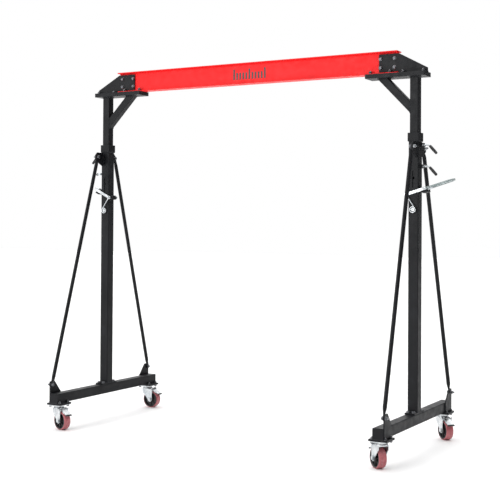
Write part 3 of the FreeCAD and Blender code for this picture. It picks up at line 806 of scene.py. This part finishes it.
for side in SIDES:
    out = OUTWARD[side]
    for which, z in CLAMP_Z.items():
        body = side + "_" + which + "_clamp_screw"
        x = POST_X[side]
        elbow = Vector((x + out * ELBOW_REACH, 0, z))
        turn = Matrix.Rotation(CLAMP_TURN.get(side + "_" + which, 0.0), 3, "X")
        lean = turn @ Vector((out * math.cos(GRIP_LEAN), 0, -math.sin(GRIP_LEAN)))
        bm = bmesh.new()
        nut_face = x + out * (TUBE_HALF + 0.014)
        threads(bm, (x + out * 0.030, 0, z), (nut_face + out * 0.014, 0, z), 0.006)
        start = (nut_face + out * 0.0135, 0, z)
        bent_rod(bm, [start, elbow, elbow + lean * 0.030], 0.0058, 0.014)
        disc(bm, (nut_face + out * 0.013, 0, z), (nut_face + out * 0.017, 0, z), 0.0085, 24, 0.001)
        shank = finish_piece(body + "_shank", bm, zinc, body)
        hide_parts(body)

        bm = bmesh.new()
        outline = [(0.0, 0.0062), (0.0, 0.0072), (0.0015, 0.0082)]
        for index in range(9):
            s = 0.006 + index * 0.0058
            swell = 0.0084 + 0.0011 * math.sin(math.pi * (index + 1) / 10)
            outline += [(s, swell - 0.0009), (s + 0.0018, swell), (s + 0.0040, swell)]
        outline += [(0.0625, 0.0086), (0.0655, 0.0066), (0.0672, 0.0036), (0.0676, 0.0006)]
        outline += [(0.0580, 0.0006), (0.0580, 0.0050), (0.0040, 0.0050)]
        first = elbow + lean * 0.0075
        side_way = turn @ Vector((0, 1, 0))
        ring_of(bm, [first + lean * s + side_way * r for s, r in outline], first, lean, 28)
        finish_piece(body + "_grip", bm, grip_black, body)


# Lift levers.  Two zinc-plated arms astride the post on a through pin, joined outside it by
# a coated crosshead with a socket stub for a handle bar.

PIVOT_BACK = TUBE_HALF + 0.011
LEVER_TILT = {"left": math.radians(26.0), "right": math.radians(17.0)}
ARM_Y = TUBE_HALF + 0.003
ARM_THICK = 0.006
ARM_LENGTH = 0.130
ARM_HALF = 0.009
HEEL_ROUND = 0.0088
PIN_END = 0.0493
HEAD_START = 0.100


def at_pivot(bm, side):
    """Tilts a lever piece made along +X about its pin and sets it at the post's inner face."""
    pivot = Vector((POST_X[side] - OUTWARD[side] * PIVOT_BACK, 0, PIVOT_Z))
    flip = Matrix.Rotation(math.pi if side == "left" else 0.0, 4, "Z")
    tilt = Matrix.Rotation(-LEVER_TILT[side], 4, "Y")
    bmesh.ops.transform(bm, matrix=Matrix.Translation(pivot) @ flip @ tilt, verts=bm.verts)


for side in SIDES:
    body = side + "_lift_lever"
    bm = bmesh.new()
    for way in (-1, 1):
        near = way * ARM_Y
        far = way * (ARM_Y + ARM_THICK)
        low = Vector((-ARM_HALF, min(near, far), -ARM_HALF))
        high = Vector((ARM_LENGTH, max(near, far), ARM_HALF))
        size = high - low
        middle = (high + low) / 2
        place = Matrix.Translation(middle) @ Matrix.Diagonal((size.x, size.y, size.z, 1.0))
        corners = bmesh.ops.create_cube(bm, size=1.0, matrix=place)["verts"]
        edges = {edge for vert in corners for edge in vert.link_edges}
        heels = [
            edge
            for edge in edges
            if all(vert.co.x < 0 for vert in edge.verts)
            and abs(edge.verts[0].co.y - edge.verts[1].co.y) > 0.001
        ]
        bmesh.ops.bevel(
            bm, geom=heels, offset=HEEL_ROUND, offset_type="OFFSET", segments=7, profile=0.5,
            affect="EDGES", material=-1, clamp_overlap=True,
        )
        disc(bm, (0, far, 0), (0, far + way * 0.0018, 0), 0.0110, 24)
    disc(bm, (0, -PIN_END, 0), (0, PIN_END, 0), 0.006, 24, 0.001)
    for way in (-1, 1):
        split_pin = [(0.0, way * 0.0458, 0.0105), (0.0, way * 0.0458, -0.0105)]
        bent_rod(bm, split_pin, 0.0013, 0.001, 8)
    at_pivot(bm, side)
    arms = finish_piece(side + "_lever_arms", bm, zinc, body)
    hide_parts(side + "_lift_lever")

    bm = bmesh.new()
    block(bm, (HEAD_START, -ARM_Y, -0.024), (ARM_LENGTH, ARM_Y, 0.009), 0.003, 3)
    at_pivot(bm, side)
    finish_piece(side + "_lever_crosshead", bm, charcoal, body)

    bm = bmesh.new()
    outline = [
        (ARM_LENGTH - 0.001, 0.0125),
        (ARM_LENGTH + 0.0025, 0.0125),
        (ARM_LENGTH + 0.0035, 0.0110),
        (ARM_LENGTH + 0.0340, 0.0110),
        (ARM_LENGTH + 0.0350, 0.0102),
        (ARM_LENGTH + 0.0350, 0.0085),
        (ARM_LENGTH + 0.0340, 0.0080),
        (ARM_LENGTH - 0.001, 0.0080),
    ]
    ring_of(bm, [(s, r, 0) for s, r in outline], (0, 0, 0), (1, 0, 0), 32)
    at_pivot(bm, side)
    finish_piece(side + "_lever_socket", bm, zinc, body)


# Lever handle.  One rod bent to a U and welded to the right-hand crosshead.  Its plating has
# gone dull and slightly green from handling.

HANDLE_REACH = ARM_LENGTH + 0.180
HANDLE_HALF = 0.030
# The weld fillet round each leg: distance along the leg and out from its centre line.
FILLET = (
    (-0.0005, 0.0055),
    (-0.0005, 0.0095),
    (0.0020, 0.0088),
    (0.0050, 0.0064),
    (0.0050, 0.0055),
)
dull_zinc = zinc_plate(
    "dull_zinc", (0.15, 0.18, 0.18, 1.0), (0.36, 0.40, 0.40, 1.0), (0.20, 0.27, 0.26, 1.0)
)
bm = bmesh.new()
handle_route = [
    (ARM_LENGTH - 0.001, -HANDLE_HALF, 0),
    (HANDLE_REACH - 0.006, -HANDLE_HALF, 0),
    (HANDLE_REACH - 0.006, HANDLE_HALF, 0),
    (ARM_LENGTH - 0.001, HANDLE_HALF, 0),
]
bent_rod(bm, handle_route, 0.006, 0.0295, 20)
for way in (-1, 1):
    rod_y = way * HANDLE_HALF
    profile = [(ARM_LENGTH + s, rod_y + r, 0) for s, r in FILLET]
    ring_of(bm, profile, (0, rod_y, 0), (1, 0, 0), 20)
at_pivot(bm, "right")
handle = finish_piece("right_handle_rod", bm, dull_zinc, "right_lift_lever")
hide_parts("right_lever_handle")


# Lock pins.  A plain pin in the post's front wall on a bent wire link that hangs from the
# lever's pin, zinc plated, so that it can't be lost.

for side in SIDES:
    dress(side + "_lock_pin", zinc)


# Sliding posts, head plates and knee braces.  The inner post and its knee brace are welded
# under the head plate, and all of it has the charcoal coat.

# How far in from the post's axis the knee brace meets the head plate.
KNEE_FAR = 0.2435
KNEE_NEAR = 0.1738

for side in SIDES:
    dress(side + "_inner_post", charcoal)
    dress(side + "_top_plate", charcoal)
    dress(side + "_knee_brace", charcoal)
    out = OUTWARD[side]
    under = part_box(side + "_top_plate")[0].z - 0.0012
    x = POST_X[side]
    bm = bmesh.new()
    weld_loop(bm, square(x, 0.0, under, 0.0285, 0.0285))
    knee_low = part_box(side + "_knee_brace")[0]
    face = x - out * 0.0285
    middle = x - out * (KNEE_FAR + KNEE_NEAR) / 2
    weld_loop(bm, square(middle, 0.0, under, (KNEE_FAR - KNEE_NEAR) / 2, 0.0245))
    for way in (-1, 1):
        weld(bm, (face, way * 0.0245, knee_low.z + 0.002), (face, way * 0.0245, knee_low.z + 0.070))
    weld(bm, (face, -0.0245, knee_low.z), (face, 0.0245, knee_low.z))
    weld(bm, (face, -0.0245, knee_low.z + 0.0718), (face, 0.0245, knee_low.z + 0.0718))
    finish_piece(side + "_head_welds", bm, charcoal, "portal")


# Beam brackets.  A base plate and a pair of sloping gussets with the beam's web between
# them.  Bolts go through the web, and down through the lower flange and the head plate.

WEB_BOLTS = [(x, z) for x in (0.227, 0.134) for z in (2.367, 2.423)]
FLANGE_BOLTS = (0.289, 0.160)
PLATE_BOLTS = (0.072, -0.060)
GUSSET_FACE = 0.01035
for side in SIDES:
    dress(side + "_beam_bracket", charcoal)
    out = OUTWARD[side]
    x = POST_X[side]
    bracket_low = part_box(side + "_beam_bracket")[0]
    plate_top = bracket_low.z + 0.015
    flange_top = plate_top + 0.0069
    bm = bmesh.new()
    for reach, z in WEB_BOLTS:
        bolt_head(bm, (x - out * reach, -GUSSET_FACE, z), (0, -1, 0))
        nut_and_tail(bm, (x - out * reach, GUSSET_FACE, z), (0, 1, 0), 0.012, 0.005)
    for way in (-1, 1):
        for reach in FLANGE_BOLTS:
            seat = (x - out * reach, way * 0.0240, flange_top)
            nut_and_tail(bm, seat, (0, 0, 1), 0.012, 0.006)
        for reach in PLATE_BOLTS:
            seat = (x - out * reach, way * 0.0300, plate_top)
            nut_and_tail(bm, seat, (0, 0, 1), 0.012, 0.006)
    finish_piece(side + "_head_bolts", bm, blacked, "portal")
    bm = bmesh.new()
    for way in (-1, 1):
        y = way * (GUSSET_FACE + 0.0005)
        weld(bm, (x - out * 0.106, y, plate_top + 0.001), (x + out * 0.0745, y, plate_top + 0.001))
    finish_piece(side + "_bracket_welds", bm, charcoal, "portal")


# I-beam.  Rolled section in gloss red powder coat, with black graduations stencilled on the
# web at mid-span to centre a trolley by.

red = painted_steel(
    "red_coat",
    colour=(0.90, 0.017, 0.019, 1.0),
    shade=(0.85, 0.012, 0.014, 1.0),
    # The darker edge tone paints shade along the edges, besides scuffing.
    dust_wear_and_edge_light=(0.36, 0.010, 0.012, 1.0),
    gloss=0.40,
    shine=0.15,
    edge_radius=0.003,
    grain=420.0,
    grain_depth=0.0005,
)
dress("i_beam", red)
beam_low, beam_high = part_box("i_beam")
MARK_PITCH = 0.0235
MARK_COUNT = 11
MARK_WIDTH = 0.0125
MARK_DROP = 0.036
MARK_RISE = 0.046
LONG_MARK_RISE = 0.070
WEB_HALF = 0.00235
mid_x = (beam_low.x + beam_high.x) / 2
mid_z = (beam_low.z + beam_high.z) / 2
bm = bmesh.new()
for way in (-1, 1):
    for index in range(MARK_COUNT):
        step = index - (MARK_COUNT - 1) // 2
        rise = LONG_MARK_RISE if step % 5 == 0 else MARK_RISE
        x = mid_x + step * MARK_PITCH
        near = way * (WEB_HALF - 0.0002)
        far = way * (WEB_HALF + 0.0004)
        block(
            bm,
            (x - MARK_WIDTH / 2, min(near, far), mid_z - MARK_DROP),
            (x + MARK_WIDTH / 2, max(near, far), mid_z - MARK_DROP + rise),
        )
finish_piece("beam_graduations", bm, core_black, "portal")


# Studio.  A pale floor under a white surround, with large soft lights, and a camera at
# standing height a little to the right of the crane.

def floor_material():
    """Pale matt studio floor."""
    material, tree, shader = new_material("studio_floor")
    place = node(tree, "TexCoord").outputs["Object"]
    drift = ranged(tree, noise(tree, place, 0.8, 3.0), 0.3, 0.7, 0.0, 1.0)
    paint = mixed(tree, drift, (0.90, 0.90, 0.90, 1.0), (0.93, 0.93, 0.93, 1.0))
    tree.links.new(paint, shader.inputs["Base Color"])
    shader.inputs["Roughness"].default_value = 0.8
    return material


FLOOR_HALF = 40.0
bm = bmesh.new()
bmesh.ops.create_grid(bm, x_segments=4, y_segments=4, size=FLOOR_HALF)
floor_mesh = bpy.data.meshes.new("floor")
bm.to_mesh(floor_mesh)
bm.free()
floor_mesh.materials.append(floor_material())
floor = bpy.data.objects.new("floor", floor_mesh)
bpy.context.scene.collection.objects.link(floor)
floor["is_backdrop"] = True

world = bpy.data.worlds.new("studio")
world.use_nodes = True
tree = world.node_tree
tree.nodes.clear()
facing = node(tree, "TexCoord").outputs["Generated"]
across = ranged(tree, node(tree, "SeparateXYZ", Vector=facing).outputs["X"], -0.15, 0.2, 1.0, 0.04)
surround = node(tree, "Background", Color=(1.0, 1.0, 1.0, 1.0), Strength=across)
backdrop = node(tree, "Background", Color=(1.0, 1.0, 1.0, 1.0), Strength=1.0)
seen = node(tree, "LightPath").outputs["Is Camera Ray"]
both = node(tree, "MixShader", Fac=seen)
tree.links.new(surround.outputs[0], both.inputs[1])
tree.links.new(backdrop.outputs[0], both.inputs[2])
surface = node(tree, "OutputWorld").inputs["Surface"]
tree.links.new(both.outputs[0], surface)
bpy.context.scene.world = world
bpy.context.scene.view_settings.view_transform = "Standard"


def soft_light(name, place, aim, width, height, power):
    """A rectangular area light turned towards a point."""
    lamp = bpy.data.lights.new(name, "AREA")
    lamp.shape = "RECTANGLE"
    lamp.size = width
    lamp.size_y = height
    lamp.energy = power
    holder = bpy.data.objects.new(name, lamp)
    bpy.context.scene.collection.objects.link(holder)
    holder.location = place
    towards = Vector(aim) - Vector(place)
    holder.rotation_euler = towards.to_track_quat("-Z", "Y").to_euler()


soft_light("key", (-4.0, -9.0, 3.5), (0.0, 0.0, 1.3), 5.0, 4.0, 300.0)
soft_light("edge", (8.0, -3.4, 1.6), (0.0, 0.0, 1.2), 0.5, 4.0, 14.0)
overhead_lamp = bpy.data.lights.new("overhead", "SUN")
overhead_lamp.energy = 2.7
overhead_lamp.angle = math.radians(100.0)
overhead = bpy.data.objects.new("overhead", overhead_lamp)
bpy.context.scene.collection.objects.link(overhead)
overhead.rotation_euler = (math.radians(-8.0), math.radians(6.0), 0.0)

mid_span = (POST_X["left"] + POST_X["right"]) / 2
CAMERA_AT = Vector((mid_span + 3.4859, -6.1671, 1.3753))
CAMERA_YAW = 0.5188
CAMERA_PITCH = 0.0127
CAMERA_ROLL = 0.0061
forward = Vector(
    (
        -math.sin(CAMERA_YAW) * math.cos(CAMERA_PITCH),
        math.cos(CAMERA_YAW) * math.cos(CAMERA_PITCH),
        math.sin(CAMERA_PITCH),
    )
)
level = Vector((math.cos(CAMERA_YAW), math.sin(CAMERA_YAW), 0.0))
upright = level.cross(forward)
camera_x = level * math.cos(CAMERA_ROLL) + upright * math.sin(CAMERA_ROLL)
camera_y = upright * math.cos(CAMERA_ROLL) - level * math.sin(CAMERA_ROLL)
camera_data = bpy.data.cameras.new("camera")
camera_data.sensor_width = 36.0
camera_data.lens = 76.517
camera_data.shift_x = 0.0118
camera_data.shift_y = -0.0738
camera = bpy.data.objects.new("camera", camera_data)
bpy.context.scene.collection.objects.link(camera)
turn = Matrix((camera_x, camera_y, -forward)).transposed().to_4x4()
camera.matrix_world = Matrix.Translation(CAMERA_AT) @ turn
bpy.context.scene.camera = camera

low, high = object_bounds()
